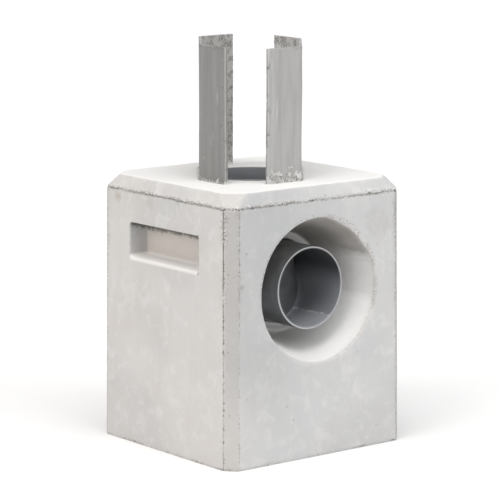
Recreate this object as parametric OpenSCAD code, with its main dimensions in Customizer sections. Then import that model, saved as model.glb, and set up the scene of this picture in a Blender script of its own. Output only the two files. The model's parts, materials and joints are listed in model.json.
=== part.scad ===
// Concrete footing block for a hollow rainwater column: a cast block with a drain
// bend set in it, hand pockets to lift it by, and two folded metal channels that
// stand up out of its top and hold the column.

/* [Block] */
// Width of the underside, along the face with the outlet
block_w = 300; // [250:1:360]
// Depth of the underside
block_d = 290; // [240:1:350]
// Height of the top face over the ground
block_h = 360; // [300:1:432]
// Height of the sloping edge around the top face
edge_h = 18; // [10:1:24]
// Inward run of that sloping edge
edge_run = 9; // [5:1:14]
// Inward lean of each wall, from the ground up to the sloping edge
lean = 2.5; // [0:0.5:5]
// Leg of the cut upright corners
corner_cut = 15; // [8:1:20]
// Leg of the corner cuts where they meet the top face
top_corner_cut = 25; // [15:1:32]

/* [Outlet recess] */
// Radius of the recess where it opens in the wall
recess_mouth_r = 96; // [88:1:115]
// Radius of the flat floor of the recess
recess_floor_r = 68; // [62:1:82]
// Depth of the recess, square to the wall
recess_depth = 85; // [70:1:100]

/* [Hand pockets] */
// Width of each pocket
pocket_w = 149; // [124:1:178]
// Height of each pocket
pocket_h = 46; // [38:1:55]
// Depth of each pocket
pocket_depth = 30; // [25:1:36]
// Drop from the top face to the pocket's ceiling
pocket_drop = 61; // [50:1:73]
// Radius of the pocket's upright corners
pocket_corner_r = 4; // [2:0.5:8]
// Leg of the broken edge along the pocket's floor
pocket_lip = 3; // [1:0.5:6]

/* [Drain bend] */
// Outer diameter of the pipe and of the bend
pipe_d = 110; // [92:0.1:132]
// Wall of the bend
pipe_wall = 3.2; // [2.6:0.1:4]
// Extra thickness of the curved part, both inside and outside
elbow_extra = 0.5; // [0.3:0.1:1]
// Radius between the inner side of the bend and the centre it turns about
bend_throat = 3.5; // [2:0.5:12]
// Drop from the top face to the outlet's axis
outlet_drop = 138; // [130:1:165]
// Distance that the outlet's end stays back from the wall
outlet_setback = 20; // [5:1:30]
// Radial clearance of a pipe in the socket
socket_clearance = 0.3; // [0.1:0.05:0.6]
// Radial room for the seal ring around that pipe
seal_room = 3; // [2:0.5:5]
// Length of the seal chamber, down from the top face
seal_len = 23; // [18:1:28]

/* [Channels] */
// Thickness of the sheet
sheet = 4; // [3:0.5:5]
// Inside radius of the folds
fold_r = 3; // [2:0.5:6]
// Length of each side wing, over the folds
wing_len = 56; // [46:1:67]
// Length of the web, over the folds
web_len = 122; // [102:1:146]
// Angle of the first fold, the second one making up a right angle
fold_angle = 37; // [30:1:45]
// Depth of the channels in the concrete
embed = 45; // [35:1:48]
// Height of the left channel over the top face
left_rise = 178; // [148:1:214]
// Height of the right channel over the top face
right_rise = 176; // [147:1:212]
// Gap between the left web and the socket
left_gap = 4.5; // [1:0.5:8]
// Gap between the right web and the socket
right_gap = 1; // [0.5:0.5:8]
// Shift of the left channel along its own web
left_shift = 7; // [-10:0.5:10]
// Shift of the right channel along its own web
right_shift = 2; // [-10:0.5:10]
// Turn of the right channel away from square with the left one
right_turn = -2; // [-3:0.5:3]

/* [Hidden] */
$fn = 96;
fold_steps = 6;
eps = 1;
// The straight parts of the bend reach this far into its curved part.
lap = 1;
far = 1000;

wall_h = block_h - edge_h;
half_w = block_w / 2;
half_d = block_d / 2;

pipe_r = pipe_d / 2;
bore_r = pipe_r - pipe_wall;
// Radius of the bend's centre line.
bend_r = pipe_r + bend_throat;
outlet_z = block_h - outlet_drop;
// The outlet wall leans in with height, so its place is taken at the outlet's axis.
wall_y = -half_d + lean * outlet_z / wall_h;
outlet_end_y = wall_y + outlet_setback;
bend_top_z = outlet_z + bend_r;
// A pipe pushed into the socket stops on a shoulder at this height.
seat_bottom_z = bend_top_z + pipe_wall;

seat_r = pipe_r + socket_clearance;
seal_r = seat_r + seal_room;
seat_outer_r = seat_r + pipe_wall;
seal_outer_r = seal_r + pipe_wall;

pocket_top_z = block_h - pocket_drop;
pocket_bottom_z = pocket_top_z - pocket_h;

// Removes what lies outside a sloping plane. The plane faces the plan direction dir
// and passes d0 from the upright axis at height z0 and d1 from it at height z1.
module slope_cut(dir, d0, z0, d1, z1) {
  rotate([0, 0, dir])
    translate([d0, 0, z0])
      rotate([0, atan2(d1 - d0, z1 - z0), 0])
        translate([0, -far / 2, -far / 2])
          cube(far);
}

// Distance of a corner cut from the upright axis, where the walls stand at (x, y).
function corner_d(x, y, cut) = (x + y - cut) / sqrt(2);

// The plan direction that a corner cut faces, for a corner in the quadrant (sx, sy).
function corner_dir(sx, sy) = atan2(sy, sx);

module leaning_walls() {
  for (side = [0, 1]) {
    slope_cut(180 * side, half_w, 0, half_w - lean, wall_h);
    slope_cut(90 + 180 * side, half_d, 0, half_d - lean, wall_h);
    slope_cut(180 * side, half_w - lean, wall_h, half_w - lean - edge_run, block_h);
    slope_cut(90 + 180 * side, half_d - lean, wall_h, half_d - lean - edge_run, block_h);
  }
}

module cut_corners() {
  foot_d = corner_d(half_w, half_d, corner_cut);
  wall_top_d = corner_d(half_w - lean, half_d - lean, corner_cut);
  top_d = corner_d(half_w - lean - edge_run, half_d - lean - edge_run, top_corner_cut);
  for (sx = [-1, 1], sy = [-1, 1]) {
    slope_cut(corner_dir(sx, sy), foot_d, 0, wall_top_d, wall_h);
    slope_cut(corner_dir(sx, sy), wall_top_d, wall_h, top_d, block_h);
  }
}

// Room for the fingers in the wall that faces +X.
module hand_pocket() {
  // The wall has leaned in this far at the pocket's ceiling and floor.
  wall_top_x = half_w - lean * pocket_top_z / wall_h;
  wall_x = half_w - lean * pocket_bottom_z / wall_h;
  back_x = wall_top_x - pocket_depth;
  round_x = back_x + pocket_corner_r;
  translate([0, 0, pocket_bottom_z])
    linear_extrude(pocket_h)
      union() {
        translate([round_x, -pocket_w / 2])
          square([half_w + eps - round_x, pocket_w]);
        translate([back_x, -pocket_w / 2 + pocket_corner_r])
          square([pocket_corner_r + eps, pocket_w - 2 * pocket_corner_r]);
        for (side = [-1, 1])
          translate([round_x, side * (pocket_w / 2 - pocket_corner_r)])
            circle(r = pocket_corner_r);
      }
  // The broken edge along the floor.
  translate([0, pocket_w / 2, 0])
    rotate([90, 0, 0])
      linear_extrude(pocket_w)
        polygon([
          [wall_x - pocket_lip, pocket_bottom_z],
          [wall_x + eps, pocket_bottom_z - pocket_lip - eps],
          [wall_x + eps, pocket_bottom_z + eps],
          [wall_x - pocket_lip, pocket_bottom_z + eps]
        ]);
}

// Cone with a flat floor, opening in the wall that faces -Y.
module outlet_recess() {
  slope = (recess_mouth_r - recess_floor_r) / recess_depth;
  run = recess_depth + lean + eps;
  translate([0, wall_y + recess_depth, outlet_z])
    rotate([90, 0, 0])
      cylinder(r1 = recess_floor_r, r2 = recess_floor_r + slope * run, h = run);
}

// The curved part of the bend at radius r, from straight down to straight out.
module elbow(r) {
  translate([0, -bend_r, bend_top_z])
    rotate([90, 0, 90])
      rotate([0, 0, 270])
        rotate_extrude(angle = 90)
          translate([bend_r, 0])
            circle(r = r);
}

// The straight outlet at radius r. It laps into the thicker elbow.
module outlet_pipe(r, end_y) {
  translate([0, end_y, outlet_z])
    rotate([-90, 0, 0])
      cylinder(r = r, h = lap - bend_r - end_y);
}

// The outside of the drain bend, which is also the space it fills in the concrete.
module bend_body(above) {
  elbow(pipe_r + elbow_extra);
  outlet_pipe(pipe_r, outlet_end_y);
  translate([0, 0, bend_top_z - lap])
    cylinder(r = seat_outer_r, h = outlet_drop - bend_r + lap);
  translate([0, 0, block_h - seal_len - pipe_wall])
    cylinder(r = seal_outer_r, h = seal_len + pipe_wall + above);
}

module bend_bore() {
  elbow(bore_r - elbow_extra);
  outlet_pipe(bore_r, outlet_end_y - eps);
  translate([0, 0, bend_top_z - lap])
    cylinder(r = bore_r, h = pipe_wall + lap + eps);
  translate([0, 0, seat_bottom_z])
    cylinder(r = seat_r, h = block_h - seat_bottom_z);
  translate([0, 0, block_h - seal_len])
    cylinder(r = seal_r, h = seal_len + eps);
}

// Unit vector along a heading, and the one to the right of it.
function ahead(heading) = [cos(heading), sin(heading)];
function right_of(heading) = [sin(heading), -cos(heading)];

// Length that a fold takes off the straight sheet on each side of a sharp corner.
function fold_back(angle) = (fold_r + sheet) * tan(angle / 2);

// Arc of radius r at a fold to the right, where the outside of the sheet would meet
// in the sharp corner, from heading h0 to heading h1.
function fold_arc(corner, h0, h1, r) =
  let (
    centre = corner - fold_back(h0 - h1) * ahead(h0) + (fold_r + sheet) * right_of(h0)
  )
  [for (i = [0 : fold_steps]) centre - r * right_of(h0 + (h1 - h0) * i / fold_steps)];

function reversed(points) = [for (i = [len(points) - 1 : -1 : 0]) points[i]];

// Plan of a channel: wing, fold, web, fold, wing. The web's outside middle is at the
// origin. The first wing runs along +Y, and the last one along +X.
module channel_plan() {
  web_heading = 90 - fold_angle;
  corner_1 = -web_len / 2 * ahead(web_heading);
  corner_2 = web_len / 2 * ahead(web_heading);
  start = corner_1 - wing_len * ahead(90);
  end = corner_2 + wing_len * ahead(0);
  outer_r = fold_r + sheet;
  polygon(concat(
    [start],
    fold_arc(corner_1, 90, web_heading, outer_r),
    fold_arc(corner_2, web_heading, 0, outer_r),
    [end, end + sheet * right_of(0)],
    reversed(fold_arc(corner_2, web_heading, 0, fold_r)),
    reversed(fold_arc(corner_1, 90, web_heading, fold_r)),
    [start + sheet * right_of(90)]
  ));
}

// Stands a channel with its web this far from the socket's axis. The inside of the
// web faces the socket.
module channel(gap, shift, turn, rise) {
  web_heading = 90 - fold_angle;
  web_middle = shift * ahead(web_heading)
    - (seal_outer_r + gap + sheet) * right_of(web_heading);
  rotate([0, 0, turn])
    translate([web_middle.x, web_middle.y, block_h - embed])
      linear_extrude(embed + rise)
        channel_plan();
}

module left_channel_at(rise) {
  channel(left_gap, left_shift, 0, rise);
}

module right_channel_at(rise) {
  channel(right_gap, right_shift, 180 + right_turn, rise);
}

module concrete_block() {
  color("gainsboro")
    difference() {
      translate([-half_w, -half_d, 0])
        cube([block_w, block_d, block_h]);
      leaning_walls();
      cut_corners();
      hand_pocket();
      rotate([0, 0, 180])
        hand_pocket();
      outlet_recess();
      bend_body(eps);
      left_channel_at(eps);
      right_channel_at(eps);
    }
}

module drain_bend() {
  color("dimgray")
    difference() {
      bend_body(0);
      bend_bore();
    }
}

module left_channel() {
  color("darkgray")
    left_channel_at(left_rise);
}

module right_channel() {
  color("silver")
    right_channel_at(right_rise);
}

concrete_block();
drain_bend();
left_channel();
right_channel();
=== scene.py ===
"""Looks of the column base block: worn cast concrete, a plastic drain bend and two sheet channels."""
import json
import math

import bmesh
import bpy
import numpy as np
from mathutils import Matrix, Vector
from mathutils.bvhtree import BVHTree
from mathutils.geometry import tessellate_polygon
from mathutils.kdtree import KDTree


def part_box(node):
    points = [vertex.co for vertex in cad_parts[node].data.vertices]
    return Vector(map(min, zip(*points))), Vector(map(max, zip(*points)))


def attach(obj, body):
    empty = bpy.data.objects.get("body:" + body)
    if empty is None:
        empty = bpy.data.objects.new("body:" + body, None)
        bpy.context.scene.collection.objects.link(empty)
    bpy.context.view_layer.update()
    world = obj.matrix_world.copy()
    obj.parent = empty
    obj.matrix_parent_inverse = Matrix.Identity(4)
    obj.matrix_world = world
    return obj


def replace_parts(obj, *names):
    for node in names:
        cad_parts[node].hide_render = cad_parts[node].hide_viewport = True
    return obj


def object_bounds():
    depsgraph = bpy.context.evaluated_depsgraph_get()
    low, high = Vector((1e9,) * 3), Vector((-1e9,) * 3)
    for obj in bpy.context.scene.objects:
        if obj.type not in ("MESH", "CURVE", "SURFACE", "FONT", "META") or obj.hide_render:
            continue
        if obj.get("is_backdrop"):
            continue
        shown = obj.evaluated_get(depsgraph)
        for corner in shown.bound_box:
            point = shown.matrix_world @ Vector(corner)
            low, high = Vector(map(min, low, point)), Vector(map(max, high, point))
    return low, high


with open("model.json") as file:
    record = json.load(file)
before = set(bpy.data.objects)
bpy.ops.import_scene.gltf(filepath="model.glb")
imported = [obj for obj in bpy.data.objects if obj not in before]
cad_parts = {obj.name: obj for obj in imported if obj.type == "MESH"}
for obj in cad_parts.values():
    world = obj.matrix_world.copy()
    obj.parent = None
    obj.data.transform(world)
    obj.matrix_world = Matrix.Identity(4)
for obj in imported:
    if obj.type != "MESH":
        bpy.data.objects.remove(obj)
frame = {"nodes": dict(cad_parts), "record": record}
CAD_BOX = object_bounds()
MM = 0.001
# Vertices of a CAD mesh that lie this close are one vertex.
WELD = 0.002 * MM
scene = bpy.context.scene


# ---------------------------------------------------------------- numbers from the frame

def node_points(name):
    """Every vertex of a CAD node, as rows of x, y, z."""
    mesh = frame["nodes"][name].data
    flat = np.empty(len(mesh.vertices) * 3)
    mesh.vertices.foreach_get("co", flat)
    return flat.reshape(-1, 3)


def mount(name):
    """One mount of the record."""
    return next(m for m in frame["record"]["mounts"] if m["name"] == name)


BLOCK_LOW, BLOCK_HIGH = (np.array(corner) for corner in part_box("concrete_block"))
BLOCK_POINTS = node_points("concrete_block")
TOP_Z = BLOCK_HIGH[2]
# The sloping edge starts at the second highest level of the block.
WALL_TOP_Z = sorted({round(float(z), 4) for z in BLOCK_POINTS[:, 2]})[-2]
SPIGOT = mount("outlet_spigot")
SOCKET = mount("inlet_socket")
OUTLET_Z = SPIGOT["pos_m"][2]
PIPE_R = SPIGOT["dims"]["r_mm"] * MM
SPIGOT_END_Y = SPIGOT["pos_m"][1] - SPIGOT["dims"]["length_mm"] * MM / 2
SEAT_R = SOCKET["dims"]["r_mm"] * MM


def pocket_box():
    """The space of the hand pocket on -X, as its low and high corners."""
    opening = next(o for o in frame["record"]["physics"]["openings"] if o["name"] == "left_pocket")
    low, high = (np.array(corner) for corner in opening["box_m"])
    near = np.all((BLOCK_POINTS > low - 5 * MM) & (BLOCK_POINTS < high + 5 * MM), axis=1)
    return BLOCK_POINTS[near].min(axis=0), BLOCK_POINTS[near].max(axis=0)


def arris_ends(side_x, side_y):
    """The two upright arrises at one cut corner, the X wall's first, each as its foot and its wall top."""
    sides = (side_x, side_y)
    found = []
    for main, other in ((0, 1), (1, 0)):
        ends = []
        for level in (0.0, WALL_TOP_Z):
            ring = BLOCK_POINTS[np.abs(BLOCK_POINTS[:, 2] - level) < 0.2 * MM]
            reach = ring[:, main] * sides[main]
            ring = ring[reach > reach.max() - 0.2 * MM]
            ends.append(ring[np.argmax(ring[:, other] * sides[other])])
        found.append(ends)
    return found


# ---------------------------------------------------------------- repeatable noise in numpy

# Large odd numbers, which mix the bits of whole numbers.
CELL_FACTORS = (374761393, 668265263, 1440662683)
SEED_FACTOR = 974634777
MIX_FACTOR = 1274126177
LOW_32_BITS = 0xFFFFFFFF
LOW_16_BITS = 0xFFFF


def hashed(cell, seed):
    """A repeatable number from 0 to 1 for each row of whole numbers."""
    h = sum(cell[:, k] * factor for k, factor in enumerate(CELL_FACTORS)) + seed * SEED_FACTOR
    h &= LOW_32_BITS
    h = ((h ^ (h >> 13)) * MIX_FACTOR) & LOW_32_BITS
    return ((h ^ (h >> 16)) & LOW_16_BITS) / LOW_16_BITS


def noise(points, size, seed):
    """Smooth noise from -1 to 1, with lumps of about this size."""
    place = points / size
    cell = np.floor(place).astype(np.int64)
    part = place - cell
    part = part * part * (3 - 2 * part)
    total = np.zeros(len(points))
    for corner in np.ndindex(2, 2, 2):
        weight = np.prod(np.where(corner, part, 1 - part), axis=1)
        total += weight * hashed(cell + corner, seed)
    return 2 * total - 1


def layered(points, size, seed, layers=3):
    """Noise with finer and weaker layers added to it."""
    total = sum(noise(points, size / 2 ** i, seed + i) / 2 ** i for i in range(layers))
    return total / (2 - 0.5 ** (layers - 1))


def spots(points, size, seed):
    """Distance to the nearest of points scattered one to a cell, and that point's own number."""
    cell = np.floor(points / size).astype(np.int64)
    best = np.full(len(points), np.inf)
    number = np.zeros(len(points))
    for corner in np.ndindex(3, 3, 3):
        near = cell + corner - 1
        place = np.stack([near[:, k] + hashed(near, seed + k) for k in range(3)], axis=1) * size
        distance = np.linalg.norm(points - place, axis=1)
        closer = distance < best
        best[closer] = distance[closer]
        number[closer] = hashed(near[closer], seed + 3)
    return best, number


def rising(value, low, high):
    """0 below low, 1 above high and smooth between them. It falls where low is over high."""
    t = np.clip((value - low) / (high - low), 0, 1)
    return t * t * (3 - 2 * t)


def segment_distance(points, start, end):
    """Distance of each point from a straight segment."""
    along = end - start
    t = np.clip((points - start) @ along / (along @ along), 0, 1)
    return np.linalg.norm(points - start - t[:, None] * along, axis=1)


# ---------------------------------------------------------------- meshes

def new_piece(name, mesh, material):
    """A piece that rides on the one body and takes its finish from a slot."""
    mesh.materials.clear()
    mesh.materials.append(material)
    obj = bpy.data.objects.new(name, mesh)
    scene.collection.objects.link(obj)
    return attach(obj, "root")


def with_modifier(mesh, kind, **settings):
    """A new mesh: this one after one modifier."""
    holder = bpy.data.objects.new("holder", mesh)
    scene.collection.objects.link(holder)
    modifier = holder.modifiers.new("step", kind)
    for key, value in settings.items():
        setattr(modifier, key, value)
    graph = bpy.context.evaluated_depsgraph_get()
    result = bpy.data.meshes.new_from_object(holder.evaluated_get(graph), depsgraph=graph)
    bpy.data.objects.remove(holder)
    return result


def mesh_arrays(mesh):
    """Vertex places, vertex normals and edges as arrays."""
    count = len(mesh.vertices)
    places, normals = np.empty(count * 3), np.empty(count * 3, np.float32)
    edges = np.empty(len(mesh.edges) * 2, np.int32)
    mesh.vertices.foreach_get("co", places)
    mesh.vertex_normals.foreach_get("vector", normals)
    mesh.edges.foreach_get("vertices", edges)
    return places.reshape(-1, 3), normals.reshape(-1, 3).astype(float), edges.reshape(-1, 2)


def smoothed(places, edges, rounds):
    """Each vertex moved to the middle of its neighbours, several times over."""
    count = len(places)
    degree = np.bincount(edges.ravel(), minlength=count)
    for _ in range(rounds):
        total = np.empty_like(places)
        for k in range(3):
            total[:, k] = np.bincount(edges[:, 0], places[edges[:, 1], k], count)
            total[:, k] += np.bincount(edges[:, 1], places[edges[:, 0], k], count)
        places = total / degree[:, None]
    return places


def store(mesh, name, values):
    """Keeps one number for each vertex, for a material to read."""
    attribute = mesh.attributes.new(name, "FLOAT", "POINT")
    attribute.data.foreach_set("value", np.ascontiguousarray(values, np.float32))


def welded(name):
    """A CAD node's mesh, open for editing, with its split vertices joined."""
    shape = bmesh.new()
    shape.from_mesh(frame["nodes"][name].data)
    bmesh.ops.remove_doubles(shape, verts=shape.verts, dist=WELD)
    return shape


def ring_quads(rings, sides, closed=False):
    """Four-sided faces between rings of vertices, and from the last ring to the first if closed."""
    faces = []
    for ring in range(rings if closed else rings - 1):
        here, after = ring * sides, (ring + 1) % rings * sides
        for i in range(sides):
            j = (i + 1) % sides
            faces.append((here + i, here + j, after + j, after + i))
    return faces


def skin_mesh(name, places, faces, looks, sharp_angle):
    """A closed mesh that faces outward, with its looks stored and its sharp edges kept sharp."""
    mesh = bpy.data.meshes.new(name)
    mesh.from_pydata(places.tolist(), [], faces)
    for key, values in looks.items():
        store(mesh, key, values)
    shape = bmesh.new()
    shape.from_mesh(mesh)
    bmesh.ops.recalc_face_normals(shape, faces=shape.faces)
    shape.to_mesh(mesh)
    shape.free()
    mesh.shade_smooth()
    mesh.set_sharp_from_angle(angle=math.radians(sharp_angle))
    return mesh


# ---------------------------------------------------------------- materials

class Shader:
    """Adds nodes to one material and joins them up. Sizes are in metres and tones are linear RGB."""

    def __init__(self, name):
        self.material = bpy.data.materials.new(name)
        self.material.use_nodes = True
        self.tree = self.material.node_tree
        self.tree.nodes.clear()
        self.surface = self.tree.nodes.new("ShaderNodeBsdfPrincipled")
        output = self.tree.nodes.new("ShaderNodeOutputMaterial")
        self.tree.links.new(self.surface.outputs["BSDF"], output.inputs["Surface"])
        self.place = self.tree.nodes.new("ShaderNodeTexCoord").outputs["Object"]

    def put(self, target, value):
        """Sets a socket to a plain value, or links it to another node's output."""
        if isinstance(value, bpy.types.NodeSocket):
            self.tree.links.new(value, target)
        elif isinstance(value, tuple) and len(value) == 3 and target.type == "RGBA":
            target.default_value = (*value, 1)
        else:
            target.default_value = value

    def node(self, kind, inputs, **settings):
        made = self.tree.nodes.new(kind)
        for key, value in settings.items():
            setattr(made, key, value)
        for key, value in inputs.items():
            self.put(made.inputs[key], value)
        return made

    def calc(self, operation, a, b=0.0):
        return self.node("ShaderNodeMath", {0: a, 1: b}, operation=operation).outputs[0]

    def plus(self, a, b):
        return self.calc("ADD", a, b)

    def minus(self, a, b):
        return self.calc("SUBTRACT", a, b)

    def times(self, first, *others):
        """The product of all the values."""
        for other in others:
            first = self.calc("MULTIPLY", first, other)
        return first

    def most(self, first, *others):
        """The largest of all the values."""
        for other in others:
            first = self.calc("MAXIMUM", first, other)
        return first

    def rising(self, value, low, high):
        """0 at low and 1 at high, smooth between them."""
        inputs = {"Value": value, "From Min": low, "From Max": high}
        made = self.node("ShaderNodeMapRange", inputs, interpolation_type="SMOOTHSTEP")
        return made.outputs["Result"]

    def mix(self, share, a, b, way="MIX"):
        made = self.node("ShaderNodeMix", {0: share, 6: a, 7: b}, data_type="RGBA", blend_type=way)
        return made.outputs[2]

    def tint(self, colour, tone, share, strength):
        """The colour with a share of the tone laid over it, made weaker by the strength."""
        return self.mix(self.times(share, strength), colour, tone)

    def stretched(self, factors):
        """The object's own coordinates, drawn out along some axes."""
        return self.node("ShaderNodeMapping", {"Vector": self.place, "Scale": factors}).outputs[0]

    def noise(self, size, detail=3.0, rough=0.5, place=None, warp=0.0):
        inputs = {"Vector": place or self.place, "Scale": 1 / size, "Detail": detail}
        inputs.update({"Roughness": rough, "Distortion": warp})
        return self.node("ShaderNodeTexNoise", inputs).outputs["Fac"]

    def cells(self, size):
        """Distance to the nearest of scattered points in cell sizes, and that point's colour."""
        made = self.node("ShaderNodeTexVoronoi", {"Vector": self.place, "Scale": 1 / size})
        return made.outputs["Distance"], made.outputs["Color"]

    def kept(self, name):
        """A number that the mesh keeps for each vertex."""
        return self.node("ShaderNodeAttribute", {}, attribute_name=name).outputs["Fac"]

    def axis(self, vector, letter):
        return self.node("ShaderNodeSeparateXYZ", {0: vector}).outputs[letter]

    def height(self):
        return self.axis(self.place, "Z")

    def facing(self, letter):
        """How far the surface faces along X, Y or Z."""
        return self.axis(self.node("ShaderNodeNewGeometry", {}).outputs["Normal"], letter)

    def near(self, centre, radius):
        """1 at a place and 0 past a radius around it, with a ragged rim."""
        apart = self.node("ShaderNodeVectorMath", {0: self.place, 1: centre}, operation="DISTANCE")
        wander = self.times(self.minus(self.noise(radius * 0.5, 4), 0.5), radius)
        return self.rising(self.plus(apart.outputs["Value"], wander), radius, radius * 0.35)

    def bump(self, height, distance, after=None):
        inputs = {"Height": height, "Distance": distance, "Strength": 1.0}
        if after:
            inputs["Normal"] = after
        return self.node("ShaderNodeBump", inputs).outputs["Normal"]

    def finish(self, **sockets):
        for key, value in sockets.items():
            self.put(self.surface.inputs[key.replace("_", " ")], value)
        return self.material


def scaled(tone, factor):
    """A tone made darker or brighter."""
    return tuple(v * factor for v in tone)


# Each stain on the concrete: its centre, radius, tone and share.
STAINS = (
    ((BLOCK_LOW[0], 0.101, 0.331), 0.010, (0.400, 0.340, 0.270), 0.40),
    ((BLOCK_LOW[0], -0.030, 0.339), 0.009, (0.420, 0.425, 0.350), 0.35),
    ((BLOCK_LOW[0], 0.030, 0.330), 0.012, (0.430, 0.400, 0.370), 0.25),
    ((0.044, -0.120, 0.201), 0.010, (0.450, 0.470, 0.380), 0.35),
    ((-0.129, BLOCK_LOW[1], 0.240), 0.006, (0.300, 0.270, 0.240), 0.40),
    ((0.100, BLOCK_LOW[1], 0.300), 0.030, (0.480, 0.465, 0.445), 0.30),
)
# Painted light makes the recess's back pale between these heights.
BACK_LIGHT_HEIGHTS = (0.215, 0.235)


def cast_colour(s, clouds):
    """The cast surface: painted warm light on the -X side over a cool tone, clouds, drift, blotches, faint
    runs, stains and grain.
    """
    # Painted light: faces towards -X get a warm tint that stands in for the warm light on that side.
    warm_light_side = s.rising(s.facing("X"), 0.1, -0.6)
    drift = s.noise(0.21, 3, 0.5, warp=0.6)
    blotch = s.noise(0.022, 5, 0.6, warp=0.8)
    runs = s.noise(0.02, 3, 0.55, place=s.stretched((1, 1, 0.16)))
    grain = s.noise(0.0035, 4, 0.65)
    colour = s.mix(warm_light_side, (0.630, 0.634, 0.640), (0.655, 0.628, 0.608))
    colour = s.tint(colour, (0.710, 0.700, 0.690), s.rising(clouds, 0.35, 0.68), 0.50)
    colour = s.tint(colour, (0.565, 0.560, 0.553), s.rising(drift, 0.40, 0.66), 0.55)
    colour = s.tint(colour, (0.755, 0.748, 0.738), s.rising(blotch, 0.48, 0.70), 0.50)
    colour = s.tint(colour, (0.540, 0.528, 0.512), s.rising(runs, 0.52, 0.78), 0.16)
    for centre, radius, tone, share in STAINS:
        spot = s.near(tuple(float(v) for v in centre), radius)
        colour = s.tint(colour, tone, spot, share)
    return s.tint(colour, (0.450, 0.440, 0.425), s.rising(grain, 0.56, 0.78), 0.28)


def shaded_walls(s, colour):
    """Painted shade: darker cut corners, and an outlet's side that darkens towards -X and upwards."""
    cut = s.calc("ABSOLUTE", s.times(s.facing("X"), s.facing("Y")))
    cut = s.times(s.rising(cut, 0.30, 0.45), s.rising(s.facing("Z"), 0.3, 0.1))
    colour = s.tint(colour, (0.480, 0.465, 0.448), cut, 0.45)
    towards_left = s.rising(s.axis(s.place, "X"), 0.080, -0.110)
    outlet_side = s.rising(s.facing("Y"), -0.3, -0.8)
    far_end_shade = s.times(towards_left, outlet_side, s.rising(s.height(), 0.03, 0.16))
    return s.mix(far_end_shade, colour, (0.850, 0.856, 0.862), way="MULTIPLY")


def pore_mask(s):
    """1 in small round pores, which some of the scattered cells have."""
    distance, own = s.cells(0.011)
    size = s.times(s.rising(s.axis(own, "X"), 0.62, 1.0), 0.085)
    pores = s.rising(s.minus(distance, size), 0.03, 0.0)
    return s.times(pores, s.rising(s.axis(own, "X"), 0.62, 0.70))


def recess_colour(s, colour, upward):
    """Inside the recess: smears; darkest where it faces down, from dirt together with painted shade; and
    painted light that makes it pale where it faces up or to -X and on a band of its back.
    """
    inside = s.kept("inside")
    patches = s.rising(s.noise(0.03, 5, 0.6, warp=1.0), 0.40, 0.62)
    smear_and_shade = s.mix(patches, (0.430, 0.415, 0.395), (0.680, 0.670, 0.655))
    # Where it faces down the smear tone turns dark: dirt together with painted shade.
    smear_and_shade = s.mix(s.rising(s.facing("Z"), 0.1, -0.6), smear_and_shade, (0.255, 0.240, 0.222))
    dirt_and_shade = s.plus(0.10, s.times(s.rising(s.facing("Z"), 0.25, -0.6), 0.72))
    colour = s.tint(colour, smear_and_shade, inside, dirt_and_shade)
    # Painted light: pale where the recess faces up, where it faces -X away from its ceiling, and on a band
    # of its back.
    off_ceiling = s.rising(s.facing("Z"), -0.75, -0.20)
    towards_left = s.times(s.rising(s.facing("X"), 0.05, -0.45), off_ceiling, 0.6)
    back = s.times(s.rising(s.facing("Y"), -0.93, -0.99), s.rising(s.height(), *BACK_LIGHT_HEIGHTS))
    painted_light = s.most(upward, towards_left, back)
    return s.tint(colour, (0.955, 0.953, 0.946), s.times(painted_light, inside), 0.94)


def pocket_colour(s, colour, upward):
    """In a hand pocket: painted warm light on the rear wall and painted light that makes the floor pale.
    """
    pocket = s.kept("pocket")
    lit_rear = s.times(s.rising(s.facing("X"), -0.5, -0.8), pocket)
    # Painted warm light on the pocket's rear wall.
    colour = s.tint(colour, (0.800, 0.735, 0.680), lit_rear, 0.85)
    # Painted light: the pocket's floor is made pale.
    return s.tint(colour, (0.965, 0.930, 0.905), s.times(upward, pocket), 0.95)


def speckled_colour(s, colour, speck, speckled):
    """Dark and pale specks where mortar was spilt."""
    pepper = s.times(s.rising(speck, 0.50, 0.41), speckled)
    salt = s.times(s.rising(speck, 0.54, 0.63), speckled)
    colour = s.tint(colour, (0.430, 0.415, 0.395), speckled, 0.40)
    colour = s.tint(colour, (0.150, 0.136, 0.120), pepper, 0.85)
    return s.mix(salt, colour, (0.900, 0.890, 0.870))


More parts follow.
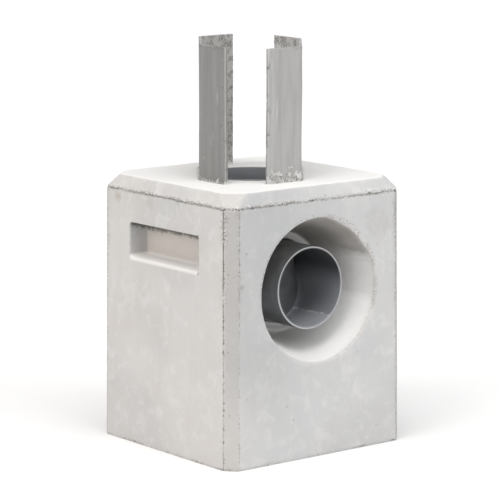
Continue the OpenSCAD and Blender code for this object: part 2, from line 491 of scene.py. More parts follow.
def concrete_material():
    """Pale cast concrete: painted shade on its walls, painted light on its top, pores, painted light and
    shade in its hollows, worn arrises with a painted highlight, crumbs, painted shade with grime in
    grooves and chips, and specks.
    """
    s = Shader("cast_concrete")
    clouds = s.noise(0.085, 5, 0.55)
    pores = pore_mask(s)
    upward = s.rising(s.facing("Z"), -0.05, 0.30)
    colour = shaded_walls(s, cast_colour(s, clouds))
    colour = s.tint(colour, (0.235, 0.220, 0.200), pores, 0.30)
    colour = recess_colour(s, colour, upward)
    colour = pocket_colour(s, colour, upward)
    # Painted light: faces that point up are made paler, standing in for the light on the top.
    top_light_tone = s.mix(0.82, colour, (0.900, 0.892, 0.880))
    colour = s.mix(s.rising(s.facing("Z"), 0.8, 0.95), colour, top_light_tone)
    # Pale along convex arrises: wear together with a painted highlight on the edges.
    colour = s.tint(colour, (0.740, 0.725, 0.705), s.kept("wear_and_highlight"), 0.45)
    # Pale crumbs on the ragged lip, and a painted highlight on the lip of each pocket's floor.
    colour = s.mix(s.kept("crumb_and_highlight"), colour, (0.830, 0.815, 0.790))
    # Dark brown in the groove, the chips, the seam, the blow holes and under a pocket's ceiling: painted
    # shade together with grime.
    colour = s.mix(s.kept("shade_and_grime"), colour, (0.120, 0.108, 0.094))
    speck = s.noise(0.0019, 2, 0.6)
    speckled = s.kept("speckled")
    colour = speckled_colour(s, colour, speck, speckled)

    fine = s.bump(s.noise(0.0016, 3, 0.7), 0.00022)
    lumps = s.bump(s.noise(0.012, 4, 0.5), 0.0005, fine)
    normal = s.bump(s.minus(1.0, pores), 0.0010, lumps)
    normal = s.bump(s.times(speck, speckled), 0.0012, normal)
    rough = s.plus(0.80, s.times(clouds, 0.15))
    return s.finish(Base_Color=colour, Roughness=rough, Normal=normal, Specular_IOR_Level=0.25)


def sheet_material(name, dark, light, residue_height, web_shade_tone):
    """Galvanised sheet: upright streaks, dull patches, painted highlights on the edges, painted shade on
    the web, and cement residue.
    """
    s = Shader(name)
    streaks = s.noise(0.010, 5, 0.6, place=s.stretched((1, 1, 0.06)))
    fine = s.noise(0.0022, 3, 0.6, place=s.stretched((1, 1, 0.03)))
    patches = s.noise(0.035, 5, 0.6, warp=0.7)
    colour = s.mix(s.rising(streaks, 0.30, 0.72), dark, light)
    colour = s.tint(colour, light, s.rising(patches, 0.45, 0.75), 0.45)
    colour = s.tint(colour, scaled(dark, 0.62), s.rising(fine, 0.50, 0.75), 0.25)
    distance, own = s.cells(0.016)
    dots = s.rising(s.minus(distance, s.times(s.axis(own, "X"), 0.09)), 0.05, 0.0)
    dots = s.times(dots, s.rising(s.axis(own, "Y"), 0.72, 0.76))
    colour = s.tint(colour, (0.07, 0.068, 0.065), dots, 0.7)
    # Painted shade: the web is drawn halfway towards a darker tone.
    colour = s.mix(s.kept("web"), colour, s.mix(0.5, colour, web_shade_tone))

    # Cement: a crust near the foot, splashes drawn out upwards, and flecks where it dried.
    inner = s.kept("inner")
    low = s.rising(s.minus(s.height(), float(TOP_Z)), residue_height, 0.0)
    crust_noise = s.noise(0.009, 6, 0.7, warp=1.2)
    reach = s.plus(s.times(low, 0.24), s.times(inner, 0.04))
    crust = s.rising(s.plus(crust_noise, reach), 0.64, 0.72)
    splash = s.noise(0.016, 4, 0.55, place=s.stretched((1, 1, 0.17)), warp=0.4)
    colour = s.tint(colour, scaled(light, 1.45), s.rising(splash, 0.60, 0.74), 0.55)
    colour = s.tint(colour, (0.76, 0.745, 0.730), inner, 0.85)
    colour = s.tint(colour, (0.80, 0.790, 0.775), crust, 0.85)
    # Painted highlight along the sheet's edges and top rim.
    colour = s.tint(colour, (0.70, 0.70, 0.69), s.kept("edge"), 0.45)
    flecked = s.most(s.times(inner, 0.8), s.times(crust, 0.9), s.times(s.kept("margin"), 0.9))
    flecks = s.rising(s.noise(0.0021, 3, 0.6), 0.56, 0.46)
    clumps = s.rising(s.noise(0.010, 4, 0.6), 0.42, 0.58)
    colour = s.tint(colour, (0.075, 0.070, 0.066), s.times(flecks, flecked, clumps), 0.85)

    metal = s.times(s.minus(1.0, crust), 0.45)
    rough = s.most(s.plus(0.42, s.times(patches, 0.22)), s.times(crust, 0.9))
    normal = s.bump(s.noise(0.03, 3, 0.5), 0.0006, s.bump(fine, 0.00006))
    normal = s.bump(s.times(crust, crust_noise), 0.0008, normal)
    return s.finish(Base_Color=colour, Metallic=metal, Roughness=rough, Normal=normal)


# The bore is in full shade between these heights, each a start and an end of the change.
SHADE_RISES = (0.212, 0.248)
SHADE_FALLS = (0.325, 0.300)
# Painted light lies on the bore's bottom up to this far below its axis, and from this far in along Y.
LIGHT_DROP = 0.0405
LIGHT_STARTS = (-0.030, -0.045)


def bore_shade(s, bore):
    """1 where the pipe is in deep shade: on its underside, and in the bend's bore."""
    underside = s.times(s.rising(s.facing("Z"), -0.1, -0.8), 0.75)
    shaded = s.times(s.rising(s.height(), *SHADE_RISES), s.rising(s.height(), *SHADE_FALLS))
    return s.most(underside, s.times(shaded, bore, 0.93))


def bore_bottom_light(s, colour):
    """The colour with painted light along the bottom of the bore near its mouth, and a pale painted line
    at the edge of that light.
    """
    wander = s.times(s.minus(s.noise(0.03, 4), 0.5), 0.006)
    level = s.plus(s.minus(s.height(), float(OUTLET_Z - LIGHT_DROP)), wander)
    in_bore = s.times(s.rising(s.facing("Z"), 0.35, 0.6), s.rising(s.axis(s.place, "Y"), *LIGHT_STARTS))
    # Painted light: the bottom of the bore near its mouth is made paler.
    lit_bottom = s.times(s.rising(level, 0.0006, -0.0006), in_bore)
    colour = s.tint(colour, (0.42, 0.44, 0.47), lit_bottom, 0.75)
    # Painted light: a pale line where that light ends.
    lit_edge_line = s.times(s.rising(s.calc("ABSOLUTE", level), 0.0013, 0.0004), in_bore)
    lit_edge_line = s.times(lit_edge_line, s.rising(s.noise(0.006, 4), 0.32, 0.55))
    return s.tint(colour, (0.66, 0.66, 0.65), lit_edge_line, 0.75)


def pipe_material():
    """Dark grey drain plastic with scuffs, dust, a shaded bore, painted light on the bore's bottom and
    painted highlights on its rims.
    """
    s = Shader("drain_plastic")
    bore = s.kept("bore")
    clouds = s.noise(0.04, 4, 0.6, warp=0.5)
    scuffs = s.noise(0.004, 4, 0.7, place=s.stretched((1, 0.15, 1)))
    colour = s.mix(s.rising(clouds, 0.35, 0.7), (0.135, 0.138, 0.144), (0.190, 0.197, 0.208))
    colour = s.tint(colour, (0.21, 0.215, 0.22), s.rising(scuffs, 0.58, 0.80), 0.30)
    dust = s.rising(s.noise(0.018, 5, 0.65), 0.40, 0.70)
    dust = s.times(s.rising(s.facing("Z"), 0.2, 1.0), dust)
    colour = s.tint(colour, (0.33, 0.325, 0.315), dust, 0.45)
    colour = s.tint(colour, (0.315, 0.330, 0.358), bore, 0.75)
    colour = s.mix(bore_shade(s, bore), colour, (0.030, 0.031, 0.034))
    colour = bore_bottom_light(s, colour)
    # Painted highlight on the pipe's end rim and, fainter, on the socket's mouth.
    colour = s.mix(s.kept("edge"), colour, (0.62, 0.625, 0.63))
    rough = s.plus(0.34, s.times(dust, 0.4))
    normal = s.bump(s.noise(0.02, 2), 0.0004, s.bump(scuffs, 0.00005))
    return s.finish(Base_Color=colour, Roughness=rough, Normal=normal)


def crumb_material():
    """Pale, matt lumps of cement."""
    s = Shader("cement_crumb")
    colour = s.mix(s.rising(s.noise(0.004, 3), 0.35, 0.65), (0.60, 0.585, 0.56), (0.86, 0.85, 0.83))
    return s.finish(Base_Color=colour, Roughness=0.9, Normal=s.bump(s.noise(0.0008, 3), 0.0002))


def floor_material():
    """Pale, matt studio floor with a faint paper grain."""
    s = Shader("studio_floor")
    grain = s.noise(0.6, 3)
    colour = s.mix(s.rising(grain, 0.3, 0.7), (0.93, 0.93, 0.93), (0.95, 0.95, 0.95))
    return s.finish(Base_Color=colour, Roughness=0.9, Specular_IOR_Level=0.1)


# ---------------------------------------------------------------- the concrete block

VOXEL = 1.35 * MM
# Triangles that the finished block may have.
FACE_BUDGET = 185000
# A point farther out along X than this can belong to a hand pocket.
POCKET_FROM_X = 100 * MM
# The painted shadow in a pocket starts this far under its ceiling, and this much lower at its rear.
SHADOW_DROP = 3.2 * MM
SHADOW_SLOPE = 8.6 * MM
# The recess's rim lies this far from the outlet's axis.
RIM_R = 97.5 * MM
# Spare concrete on the rim: where it starts and ends, as distances from the axis and as bearings.
SPARE_STARTS, SPARE_ENDS = (76 * MM, 92 * MM), (99 * MM, 96.5 * MM)
SPARE_FROM, SPARE_TO = (22, 40), (84, 66)


def outer_skin(places):
    """True on the walls, the cut corners and the sloping edge, and not deep inside the hollows."""
    out_x, out_y = np.abs(places[:, 0]), np.abs(places[:, 1])
    on_wall = (out_x > BLOCK_HIGH[0] - 8 * MM) | (out_y > BLOCK_HIGH[1] - 8 * MM)
    return on_wall | (out_x + out_y > BLOCK_HIGH[0] + BLOCK_HIGH[1] - 26 * MM)


def worn_shape(places, normals, edges, crisp):
    """The block with its edges worn round, except where they stay crisp, and how far each stood out."""
    soft = smoothed(places, edges, 14)
    slight = smoothed(places, edges, 2)
    convex = np.einsum("ij,ij->i", places - soft, normals)
    wear = 0.40 + 0.5 * rising(layered(places, 26 * MM, 11), -0.5, 0.6)
    wear += 0.5 * rising(layered(places, 5 * MM, 12), 0.15, 0.6)
    wear *= rising(convex, -0.05 * MM, 0.15 * MM)
    wear *= 1 - 0.85 * crisp
    # Where wear is 1, the vertex sits on the strongly smoothed shape.
    return slight + (soft - slight) * wear[:, None], convex


def pocket_marks(places):
    """In the hand pockets: what is within them, crisp edges, painted shade under the ceiling and along the
    near end, and a painted highlight on the lip of their floor.
    """
    low, high = pocket_box()
    x, y, z = places.T
    by_pocket = np.abs(x) > POCKET_FROM_X
    deep = -low[0] - np.abs(x)
    past_end = np.maximum(low[1] - y, y - high[1])
    off = np.maximum(past_end, np.maximum(low[2] - z, z - high[2]))
    on_side = (off < 1.5 * MM) & by_pocket
    within = on_side & (deep > 0.8 * MM)
    crisp = rising(off, 6 * MM, 3 * MM) * by_pocket

    # Painted shadow: a band under the pocket's ceiling, lower towards the rear.
    under = z - (high[2] - SHADOW_SLOPE * deep / (high[0] - low[0]) - SHADOW_DROP)
    under += layered(places, 22 * MM, 95) * 0.8 * MM
    ceiling_shadow = 0.8 * rising(under, -1.2 * MM, 1.4 * MM) * within * (deep > 2 * MM)
    # Painted shade: a dark line along the pocket's near end, by its mouth.
    near_edge = rising(np.abs(y - low[1]), 1.6 * MM, 0.6 * MM) * (deep > -4 * MM) * (deep < 5 * MM)
    painted_shade = np.maximum(ceiling_shadow, 0.6 * near_edge * on_side)
    # Painted highlight: a pale line along the lip of the pocket's floor.
    lip = rising(np.abs(z - low[2]), 2.4 * MM, 0.8 * MM) * (np.abs(deep) < 4 * MM)
    lip *= (past_end < 0) & by_pocket
    return within, crisp, painted_shade, lip


def ragged_edge(places, skin):
    """Where the walls meet the sloping edge: the groove, the lip above it and the speckled band."""
    ragged = layered(places, 9 * MM, 21) * 1.5 * MM + noise(places, 2.4 * MM, 25) * 0.7 * MM
    above = places[:, 2] - WALL_TOP_Z + 1.2 * MM - ragged
    patchy = rising(layered(places, 14 * MM, 31), -0.45, 0.35)
    groove = np.exp(-(above / (1.0 * MM)) ** 2) * skin * (0.35 + 0.65 * patchy)
    lumpy = rising(noise(places, 2.6 * MM, 41), 0.1, 0.7)
    lumpy *= rising(layered(places, 22 * MM, 42), -0.2, 0.3)
    lip = rising(above, 0.3 * MM, 1.5 * MM) * rising(above, 9 * MM, 3 * MM) * skin
    lip *= lumpy
    band = rising(above, -2.4 * MM, -0.8 * MM) * rising(above, 4.5 * MM, 0.8 * MM) * skin
    band *= 0.45 + 0.55 * patchy
    return groove, lip, band


def nearest_arris(places):
    """How near each point is to an upright arris, and how badly that arris is pitted."""
    nearest = np.full(len(places), np.inf)
    damage = np.zeros(len(places))
    for side_x in (-1, 1):
        for side_y in (-1, 1):
            strengths = (1.0, 0.45) if side_x < 0 else (0.45, 0.7)
            for (foot, head), strength in zip(arris_ends(side_x, side_y), strengths):
                distance = segment_distance(places, foot, head)
                closer = distance < nearest
                nearest[closer] = distance[closer]
                damage[closer] = strength
    return nearest, damage


def pitted_arrises(places):
    """Along the upright arrises: chips, the seam that they follow, and the speckles beside it."""
    arris, damage = nearest_arris(places)
    z = places[:, 2]
    hole, chance = spots(places, 3.4 * MM, 51)
    holed = rising(hole, 1.7 * MM, 0.5 * MM) * rising(chance, 0.25, 0.4)
    chips = holed * rising(arris, 2.8 * MM, 0.9 * MM) * damage
    seam = rising(arris, 1.6 * MM, 0.4 * MM) * rising(layered(places, 6 * MM, 55), -0.75, 0.0) * damage
    seam *= 0.45 + 0.55 * rising(z, WALL_TOP_Z - 210 * MM, WALL_TOP_Z - 90 * MM)
    beside = rising(arris, 9 * MM, 2 * MM) * rising(layered(places, 16 * MM, 57), -0.4, 0.3) * damage
    beside *= rising(z, WALL_TOP_Z - 170 * MM, WALL_TOP_Z - 20 * MM)
    return chips, seam, beside


def blow_holes(places):
    """Round holes that bubbles left in the cast faces, 1 in the middle of each."""
    bubble, own = spots(places, 17 * MM, 61)
    radius = (0.5 + 1.1 * rising(own, 0.85, 1.0)) * MM
    return np.sqrt(np.clip(1 - (bubble / radius) ** 2, 0, 1)) * (own > 0.7)


def round_outlet(places):
    """Each point's distance from the outlet's axis, and its uneven bearing round it in degrees."""
    aside, over = places[:, 0], places[:, 2] - OUTLET_Z
    bearing = np.degrees(np.arctan2(over, aside)) + 5 * layered(places, 12 * MM, 91)
    return np.hypot(aside, over), bearing


def flatten_rim(shaped, places, from_axis, bearing):
    """Spare concrete flattens the recess's rim at its upper right."""
    aside, over = places[:, 0], places[:, 2] - OUTLET_Z
    rim = rising(from_axis, *SPARE_STARTS) * rising(from_axis, *SPARE_ENDS) * (places[:, 1] < -0.09)
    spare = 3.6 * MM * rim * rising(bearing, *SPARE_FROM) * rising(bearing, *SPARE_TO)
    shaped[:, 0] -= spare * aside / np.maximum(from_axis, MM)
    shaped[:, 2] -= spare * over / np.maximum(from_axis, MM)


def thinned(dense, shaped, looks):
    """The dense mesh in its new shape, cut down to the budget, with the looks of the nearest vertices."""
    dense.vertices.foreach_set("co", shaped.ravel())
    dense.update()
    triangles = sum(len(face.vertices) - 2 for face in dense.polygons)
    mesh = with_modifier(dense, "DECIMATE", ratio=min(1.0, FACE_BUDGET / triangles))
    tree = KDTree(len(shaped))
    for index, place in enumerate(shaped):
        tree.insert(place, index)
    tree.balance()
    source = [tree.find(vertex.co)[1] for vertex in mesh.vertices]
    for name, values in looks.items():
        store(mesh, name, values[source])
    return mesh


def block_piece():
    """The cast block: the CAD shape worn, pitted and rough, with the numbers its material reads."""
    shape = welded("concrete_block")
    cad_mesh = bpy.data.meshes.new("concrete_block_copy")
    shape.to_mesh(cad_mesh)
    shape.free()
    dense = with_modifier(cad_mesh, "REMESH", mode="VOXEL", voxel_size=VOXEL)
    places, normals, edges = mesh_arrays(dense)
    y, z = places[:, 1], places[:, 2]
    skin = outer_skin(places)
    in_pocket, crisp, pocket_shade, pocket_lip_highlight = pocket_marks(places)
    shaped, convex = worn_shape(places, normals, edges, crisp)
    groove, lip, band = ragged_edge(places, skin)
    chips, seam, beside = pitted_arrises(places)
    blow = blow_holes(places)
    # A ragged band along the foot of the walls: chips, and its speckled grey is also painted shadow where
    # the block meets the floor.
    foot = rising(z, 4.5 * MM, 1.0 * MM) * rising(layered(places, 12 * MM, 58), -0.3, 0.4) * skin

    depth = 0.28 * MM * (layered(places, 55 * MM, 71) + 1)
    depth += 0.10 * MM * (layered(places, 7 * MM, 75) + 1)
    depth += 1.7 * MM * groove + 1.9 * MM * chips + 0.8 * MM * seam + 1.0 * MM * blow
    depth -= 1.1 * MM * lip
    underside = (z < 1.2 * MM) & (normals[:, 2] < -0.7)
    depth[underside] = 0
    shaped -= normals * depth[:, None]
    from_axis, bearing = round_outlet(places)
    flatten_rim(shaped, places, from_axis, bearing)
    shaped = np.clip(shaped, BLOCK_LOW, BLOCK_HIGH)
    shaped[underside, 2] = 0

    rim_marks = rising(np.abs(from_axis - RIM_R), 3 * MM, 1 * MM) * (y < -0.13)
    rim_marks *= rising(layered(places, 16 * MM, 97), -0.15, 0.3) * rising(bearing, -60, -20)
    inside = (from_axis < 97 * MM) & (y < 0) & (y > BLOCK_LOW[1] + 4 * MM)
    looks = {
        # Wear together with a painted highlight along the convex arrises.
        "wear_and_highlight": rising(convex, 0.35 * MM, 1.2 * MM) * rising(noise(places, 4 * MM, 81), -0.6, 0.4),
        # Painted shade together with grime: darker in the groove, chips, seam, blow holes and under the
        # pockets' ceilings.
        "shade_and_grime": np.clip(0.9 * groove + 0.85 * chips + 0.8 * seam + 0.2 * blow + pocket_shade, 0, 1),
        # Real crumbs on the ragged lip, and the painted highlight on the pocket floor's lip.
        "crumb_and_highlight": np.clip(0.7 * lip + 0.75 * pocket_lip_highlight, 0, 1),
        "pocket": np.asarray(in_pocket, dtype=float),
        "speckled": np.clip(band + 0.8 * beside + 0.8 * foot + 0.55 * rim_marks, 0, 1),
        "inside": inside * rising(from_axis, 99 * MM, 92 * MM),
    }
    mesh = thinned(dense, shaped, looks)
    mesh.shade_smooth()
    piece = new_piece("cast_block", mesh, concrete_material())
    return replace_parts(piece, "concrete_block")


# ---------------------------------------------------------------- the sheet channels

SHEET_ROUND = 0.55 * MM
RING_STEP = 3 * MM
# Below the top face the skin is wider by this, so that it fills the slot the block was cast around.
SLOT_GAP = 1.3 * MM


def plan_outline(name):
    """The corners of a channel's plan, in order, from the flat cap at its top."""
    shape = welded(name)
    top = max(vertex.co.z for vertex in shape.verts)
    near_top = top - 0.01 * MM
    # A list keeps the mesh's order, so that the outline starts at the same corner in every run.
    cap = [face for face in shape.faces if all(vertex.co.z > near_top for vertex in face.verts)]
    rim = {}
    for face in cap:
        for loop in face.loops:
            if loop.link_loop_radial_next.face not in cap:
                rim[loop.vert.index] = loop.link_loop_next.vert.index
    shape.verts.ensure_lookup_table()
    start = here = next(iter(rim))
    outline = []
    while True:
        outline.append(np.array(shape.verts[here].co[:2]))
        here = rim[here]
        if here == start:
            break
    shape.free()
    return outline


def rounded_and_spaced(outline, radius, step):
    """The outline with its sharp corners rounded and its straights cut up, and each corner marked."""
    count = len(outline)
    points, marks = [], []
    for i, corner in enumerate(outline):
        before, after = outline[i - 1], outline[(i + 1) % count]
        to_before = (before - corner) / np.linalg.norm(before - corner)
        to_after = (after - corner) / np.linalg.norm(after - corner)
        sharp = to_before @ to_after > -0.5
        if sharp:
            start, end = corner + to_before * radius, corner + to_after * radius
            for t in (0.0, 0.33, 0.67, 1.0):
                points.append((1 - t) ** 2 * start + 2 * t * (1 - t) * corner + t * t * end)
                marks.append(1.0)
        else:
            points.append(corner)
            marks.append(0.0)
        last = points[-1]
        reach = after - last
        length = np.linalg.norm(reach)
        # Short stretches belong to the folds and the cut ends, and get closer points.
        pieces = max(1, int(length / (step if length > 8 * MM else 0.9 * MM)))
        for k in range(1, pieces):
            points.append(last + reach * k / pieces)
            marks.append(0.0)
    return np.array(points), np.array(marks)


def plan_looks(plan, marks):
    """For each point of the plan: its way out, the inner side, the web, and the margin by an edge."""
    ahead = np.roll(plan, -1, axis=0) - np.roll(plan, 1, axis=0)
    ahead /= np.linalg.norm(ahead, axis=1)[:, None]
    outward = np.stack([ahead[:, 1], -ahead[:, 0]], axis=1)
    area = np.sum(plan[:, 0] * np.roll(plan[:, 1], -1) - np.roll(plan[:, 0], -1) * plan[:, 1])
    outward *= 1 if area > 0 else -1
    middle = plan.mean(axis=0)
    inner = rising(np.einsum("ij,ij->i", outward, middle - plan), 0.0, 1 * MM)
    # The web is the part that lies askew to X and Y.
    web = rising(np.abs(outward).min(axis=1), 0.45, 0.6) * (1 - inner)
    from_edge = np.array([np.linalg.norm(plan[marks > 0] - point, axis=1).min() for point in plan])
    return outward, inner, web, rising(from_edge, 6 * MM, 1 * MM)


def channel_rings(foot, top):
    """The heights of the rings from the foot to the rounded top, each with how far it is set in."""
    buried = np.arange(foot, TOP_Z - 1.2 * MM, RING_STEP)
    straight = np.arange(TOP_Z + 0.1 * MM, top - SHEET_ROUND, RING_STEP)
    rings = [(height, -SLOT_GAP) for height in [*buried, TOP_Z - 0.4 * MM]]
    rings += [(height, 0.0) for height in straight]
    rings += [(top - SHEET_ROUND, 0.0), (top - 0.35 * SHEET_ROUND, 0.25 * SHEET_ROUND)]
    return rings + [(top, SHEET_ROUND)]


def bent_and_nicked(places, outward, edge, top, seed):
    """Puts the sheet out of true, the same on both of its sides, and nicks its cut edges."""
    free = rising(places[:, 2], TOP_Z - 5 * MM, TOP_Z + 60 * MM)
    for k in range(2):
        places[:, k] += free * layered(places, 80 * MM, seed + 7 * k, 2) * 0.7 * MM
    nick = edge * rising(noise(places, 4 * MM, seed + 31), 0.1, 0.8) * 0.5 * MM
    places[:, :2] -= outward * nick[:, None]
    # The saw left the top slightly uneven.
    near_top = rising(places[:, 2], top - 12 * MM, top)
    places[:, 2] -= near_top * (layered(places, 22 * MM, seed + 41) + 1) * 0.35 * MM


def channel_piece(name, material, seed):
    """A folded channel as one skin, built up in rings over the plan of its CAD node."""
    low, high = (np.array(corner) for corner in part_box(name))
    plan, marks = rounded_and_spaced(plan_outline(name), SHEET_ROUND, RING_STEP)
    outward, inner, web, margin = plan_looks(plan, marks)
    rings = channel_rings(low[2], high[2])
    count, levels = len(plan), len(rings)
    places, edge = [], []
    for height, inset in rings:
        places.append(np.column_stack([plan - outward * inset, np.full(count, height)]))
        edge.append(np.maximum(marks, 1.0 if inset > 0 else 0.0))
    places, edge = np.concatenate(places), np.concatenate(edge)
    inner, web, margin = (np.tile(values, levels) for values in (inner, web, margin))
    margin = np.maximum(margin, rising(places[:, 2], high[2] - 7 * MM, high[2] - 1 * MM))
    margin *= rising(layered(places, 16 * MM, seed + 51), -0.1, 0.45)
    bent_and_nicked(places, np.tile(outward, (levels, 1)), edge, high[2], seed)

    faces = ring_quads(levels, count)
    for corners in tessellate_polygon([[Vector((*point, 0)) for point in plan]]):
        faces.append(tuple(corners))
        faces.append(tuple((levels - 1) * count + i for i in corners))
    looks = {"edge": edge, "inner": inner, "web": web, "margin": margin}
    mesh = skin_mesh(name + "_sheet", places, faces, looks, sharp_angle=40)
    piece = new_piece(name + "_sheet", mesh, material)
    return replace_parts(piece, name)


# ---------------------------------------------------------------- the drain bend

BEND_SIDES = 128
STRAIGHT_PARTS = 12
ELBOW_PARTS = 12
# The curved part is thicker than the straight ones by this, outside and inside.
THICKER = 0.5 * MM
PIPE_ROUND = 0.8 * MM
# A step in the pipe is this long, so that its edge stays sharp.
STEP = 0.1 * MM


def bend_rings():
    """The rings of the bend's skin, outside then inside: centre, lean, radius, edge and bore."""
    points = node_points("drain_bend")
    end = SPIGOT_END_Y
    at_end = points[points[:, 1] < points[:, 1].min() + 0.1 * MM]
    at_top = points[points[:, 2] > TOP_Z - 0.1 * MM]
    bore_r = np.hypot(at_end[:, 0], at_end[:, 2] - OUTLET_Z).min()
    seal_r = np.hypot(at_top[:, 0], at_top[:, 1]).min()
    wall = PIPE_R - bore_r
    half_seat = SOCKET["dims"]["length_mm"] * MM / 2
    seat_low, seat_high = SOCKET["pos_m"][2] - half_seat, SOCKET["pos_m"][2] + half_seat
    elbow_top = seat_low - wall
    bend_r = elbow_top - OUTLET_Z
    straight = [end + (-bend_r - end) * k / STRAIGHT_PARTS for k in range(1, STRAIGHT_PARTS)]
    turns = [90 / ELBOW_PARTS * k for k in range(ELBOW_PARTS + 1)]

    def on_spigot(y, radius):
        return np.array([0, y, OUTLET_Z]), 90.0, radius

    def on_elbow(angle, radius):
        turn = math.radians(angle)
        centre = np.array([0, -bend_r + bend_r * math.sin(turn), elbow_top - bend_r * math.cos(turn)])
        return centre, 90.0 - angle, radius

    def on_socket(z, radius):
        return np.array([0, 0, z]), 0.0, radius

    outside = [on_spigot(end, PIPE_R - PIPE_ROUND)]
    outside += [on_spigot(end + 0.25 * PIPE_ROUND, PIPE_R - 0.25 * PIPE_ROUND)]
    outside += [on_spigot(y, PIPE_R) for y in (end + PIPE_ROUND, *straight)]
    outside += [on_elbow(angle, PIPE_R + THICKER) for angle in turns]
    outside += [on_socket(z, SEAT_R + wall) for z in (elbow_top + STEP, seat_high - wall)]
    outside += [on_socket(z, seal_r + wall) for z in (seat_high - wall + STEP, TOP_Z - PIPE_ROUND)]
    outside += [on_socket(TOP_Z, seal_r + wall - PIPE_ROUND), on_socket(TOP_Z, seal_r + PIPE_ROUND)]
    inside = [on_socket(z, seal_r) for z in (TOP_Z - PIPE_ROUND, seat_high)]
    inside += [on_socket(z, SEAT_R) for z in (seat_high - STEP, seat_low)]
    inside += [on_socket(seat_low - STEP, bore_r), on_socket(elbow_top, bore_r - THICKER)]
    inside += [on_elbow(angle, bore_r - THICKER) for angle in reversed(turns)]
    inside += [on_spigot(y, bore_r) for y in (*reversed(straight), end + PIPE_ROUND)]
    inside += [on_spigot(end + 0.25 * PIPE_ROUND, bore_r + 0.25 * PIPE_ROUND)]
    inside += [on_spigot(end, bore_r + PIPE_ROUND)]
    return outside, inside


def ring_edge(centre):
    """How strong the painted highlight on an outside ring's edge is: full at the pipe's end and faint at
    the socket's mouth.
    """
    if centre[1] < SPIGOT_END_Y + 0.1 * PIPE_ROUND:
        return 1.0
    return 0.35 if centre[2] > TOP_Z - 0.1 * PIPE_ROUND else 0.0


def bend_piece():
    """The bend as one skin swept outside and inside along its centre line."""
    outside, inside = bend_rings()
    places, edge, bore = [], [], []
    for ring, (centre, lean, radius) in enumerate(outside + inside):
        tilt = math.radians(lean)
        for k in range(BEND_SIDES):
            turn = 2 * math.pi * k / BEND_SIDES
            across, over = math.cos(turn), math.sin(turn)
            spoke = np.array([across, over * math.cos(tilt), over * math.sin(tilt)])
            places.append(centre + spoke * radius)
        in_bore = ring >= len(outside)
        edge += [0.0 if in_bore else ring_edge(centre)] * BEND_SIDES
        bore += [float(in_bore)] * BEND_SIDES
    places = np.array(places)
    near_end = rising(places[:, 1], SPIGOT_END_Y + 70 * MM, SPIGOT_END_Y + 40 * MM)
    places[:, 0] += layered(places, 45 * MM, 301, 2) * 0.25 * MM * near_end
    faces = ring_quads(len(outside) + len(inside), BEND_SIDES, closed=True)
    looks = {"edge": np.array(edge), "bore": np.array(bore)}
    mesh = skin_mesh("drain_bend_skin", places, faces, looks, sharp_angle=45)
    piece = new_piece("drain_bend_skin", mesh, pipe_material())
    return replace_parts(piece, "drain_bend")


# ---------------------------------------------------------------- crumbs of cement

# Along the foot of the sloping edge: the wall's axis, the corners at its ends, and how many crumbs.
EDGE_CRUMBS = (
    (0, (-1, -1), (-1, 1), 260),
    (1, (-1, -1), (1, -1), 150),
    (0, (1, -1), (1, 1), 60),
    (1, (-1, 1), (1, 1), 60),
)
# The crumbs lie this far above the wall's top, on the slope.
EDGE_LIFT = np.array([0, 0, 2.5 * MM])
# How far crumbs stray from their line, and their size.
ARRIS_SPREAD = (3.0 * MM, 0.75 * MM)
EDGE_SPREAD = (2.6 * MM, 0.8 * MM)
FOOT_SPREAD = (2.2 * MM, 0.7 * MM)
# One crumb to this much of a channel's outline.
FOOT_SPACING = 2.6 * MM


def crumb_lines():
    """Where crumbs cling: the ends of each line, how many, how far they stray and their size."""
    lines = []
    for side_x in (-1, 1):
        for side_y in (-1, 1):
            for foot, head in arris_ends(side_x, side_y):
                lowest = head + (foot - head) * 0.45
                lines.append((head, lowest, 26 if side_x < 0 else 12, *ARRIS_SPREAD))
    for wall, first, last, count in EDGE_CRUMBS:
        start, end = (arris_ends(*corner)[wall][1] + EDGE_LIFT for corner in (first, last))
        lines.append((start, end, count, *EDGE_SPREAD))
    for name in ("left_channel", "right_channel"):
        plan = plan_outline(name)
        for a, b in zip(plan, plan[1:] + plan[:1]):
            length = np.linalg.norm(b - a)
            if length > 8 * MM:
                start, end = (np.array([*point, TOP_Z]) for point in (a, b))
                lines.append((start, end, int(length / FOOT_SPACING), *FOOT_SPREAD))
    return lines


def crumb_places(rng):
    """The place and size of each crumb, scattered about its line."""
    for start, end, count, stray, size in crumb_lines():
        for _ in range(count):
            place = start + (end - start) * rng.random()
            yield place + rng.normal(0, 1, 3) * stray * 0.5, size * (0.5 + rng.random() ** 2)


def crumbs(block):
    """Small lumps of cement that stuck to the arrises and round the feet of the channels."""
    rng = np.random.default_rng(7)
    corners = [vertex.co for vertex in block.data.vertices]
    surface = BVHTree.FromPolygons(corners, [face.vertices for face in block.data.polygons])
    shape = bmesh.new()
    for place, size in crumb_places(rng):
        spot, normal, _, _ = surface.find_nearest(Vector(place))
        lump = bmesh.ops.create_icosphere(shape, subdivisions=1, radius=size)["verts"]
        squash = 0.55 + 0.45 * rng.random(3)
        for vertex in lump:
            vertex.co = Vector(np.array(vertex.co) * squash * (0.75 + 0.5 * rng.random()))
            vertex.co += spot + normal * size * 0.1
            vertex.co = Vector(np.clip(vertex.co, CAD_BOX[0], CAD_BOX[1]))
    mesh = bpy.data.meshes.new("cement_crumbs")
    shape.to_mesh(mesh)
    shape.free()
    mesh.shade_smooth()
    return new_piece("cement_crumbs", mesh, crumb_material())


# ---------------------------------------------------------------- stage, light and camera

# The photo's view: its bearing and height in degrees, how far off it is, and the lens.
VIEW_AZIMUTH, VIEW_ELEVATION = -38.4427, 9.825
VIEW_DISTANCE = 3.5377
LENS_MM = 189.4
# What the camera aims at, in millimetres: how far to the right of the axis, and how high.
AIM_RIGHT, AIM_HEIGHT = -2.03, 255.59


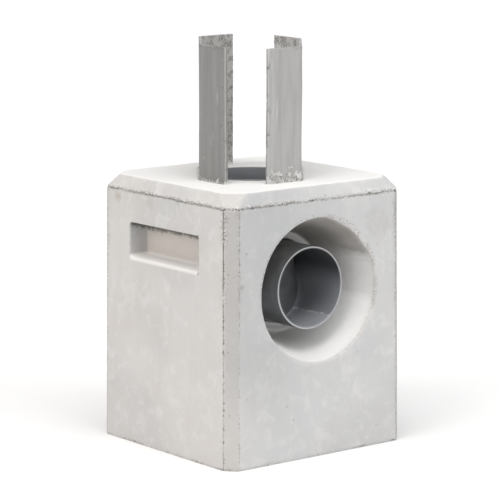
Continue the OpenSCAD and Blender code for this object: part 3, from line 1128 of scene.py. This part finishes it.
def direction(azimuth, elevation):
    """The way to a bearing and a height in degrees, where bearing 0 is the outlet's side."""
    turn, rise = math.radians(azimuth), math.radians(elevation)
    return Vector((math.sin(turn) * math.cos(rise), -math.cos(turn) * math.cos(rise), math.sin(rise)))


def soft_sun(name, azimuth, elevation, strength, spread, colour):
    """A light as wide as its spread in degrees, which comes from this bearing and height."""
    light = bpy.data.lights.new(name, "SUN")
    light.energy = strength
    light.angle = math.radians(spread)
    light.color = colour
    lamp = bpy.data.objects.new(name, light)
    lamp.rotation_euler = direction(azimuth, elevation).to_track_quat("Z", "Y").to_euler()
    scene.collection.objects.link(lamp)


def stage():
    """A wide pale floor, an even pale sky and three soft lights."""
    bpy.ops.mesh.primitive_plane_add(size=60, location=(0, 0, -0.2 * MM))
    floor = bpy.context.object
    floor.name = "floor"
    floor.data.materials.append(floor_material())
    floor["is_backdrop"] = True

    world = bpy.data.worlds.new("studio")
    world.use_nodes = True
    sky = world.node_tree.nodes["Background"]
    sky.inputs["Color"].default_value = (1.0, 1.0, 1.0, 1.0)
    sky.inputs["Strength"].default_value = 0.32
    scene.world = world

    soft_sun("overhead", -50, 76, strength=1.80, spread=50, colour=(1.0, 0.995, 0.985))
    soft_sun("warm_light_side", -84, 40, strength=0.70, spread=40, colour=(1.0, 0.96, 0.92))
    soft_sun("front_side", 14, 42, strength=0.68, spread=40, colour=(0.985, 0.995, 1.0))
    scene.view_settings.view_transform = "Standard"


def camera():
    """The camera of the photo."""
    azimuth = math.radians(VIEW_AZIMUTH)
    right = Vector((math.cos(azimuth), math.sin(azimuth), 0))
    back = direction(VIEW_AZIMUTH, VIEW_ELEVATION)
    lens = bpy.data.cameras.new("camera")
    lens.sensor_width = 36
    lens.lens = LENS_MM
    lens.clip_end = 200
    holder = bpy.data.objects.new("camera", lens)
    target = right * AIM_RIGHT * MM + Vector((0, 0, AIM_HEIGHT * MM))
    holder.location = target + back * VIEW_DISTANCE
    holder.rotation_euler = back.to_track_quat("Z", "Y").to_euler()
    scene.collection.objects.link(holder)
    scene.camera = holder


block = block_piece()
crumbs(block)
dull_sheet = sheet_material("dull_sheet", dark=(0.285, 0.282, 0.276), light=(0.345, 0.342, 0.334),
                            residue_height=0.007, web_shade_tone=(0.06, 0.06, 0.06))
channel_piece("left_channel", dull_sheet, seed=101)
bright_sheet = sheet_material("bright_sheet", dark=(0.430, 0.426, 0.418), light=(0.535, 0.530, 0.523),
                              residue_height=0.030, web_shade_tone=(0.4, 0.4, 0.4))
channel_piece("right_channel", bright_sheet, seed=151)
bend_piece()
stage()
camera()

boxes = {"cad": CAD_BOX, "visual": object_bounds()}
{key: [list(map(float, corner)) for corner in box] for key, box in boxes.items()}
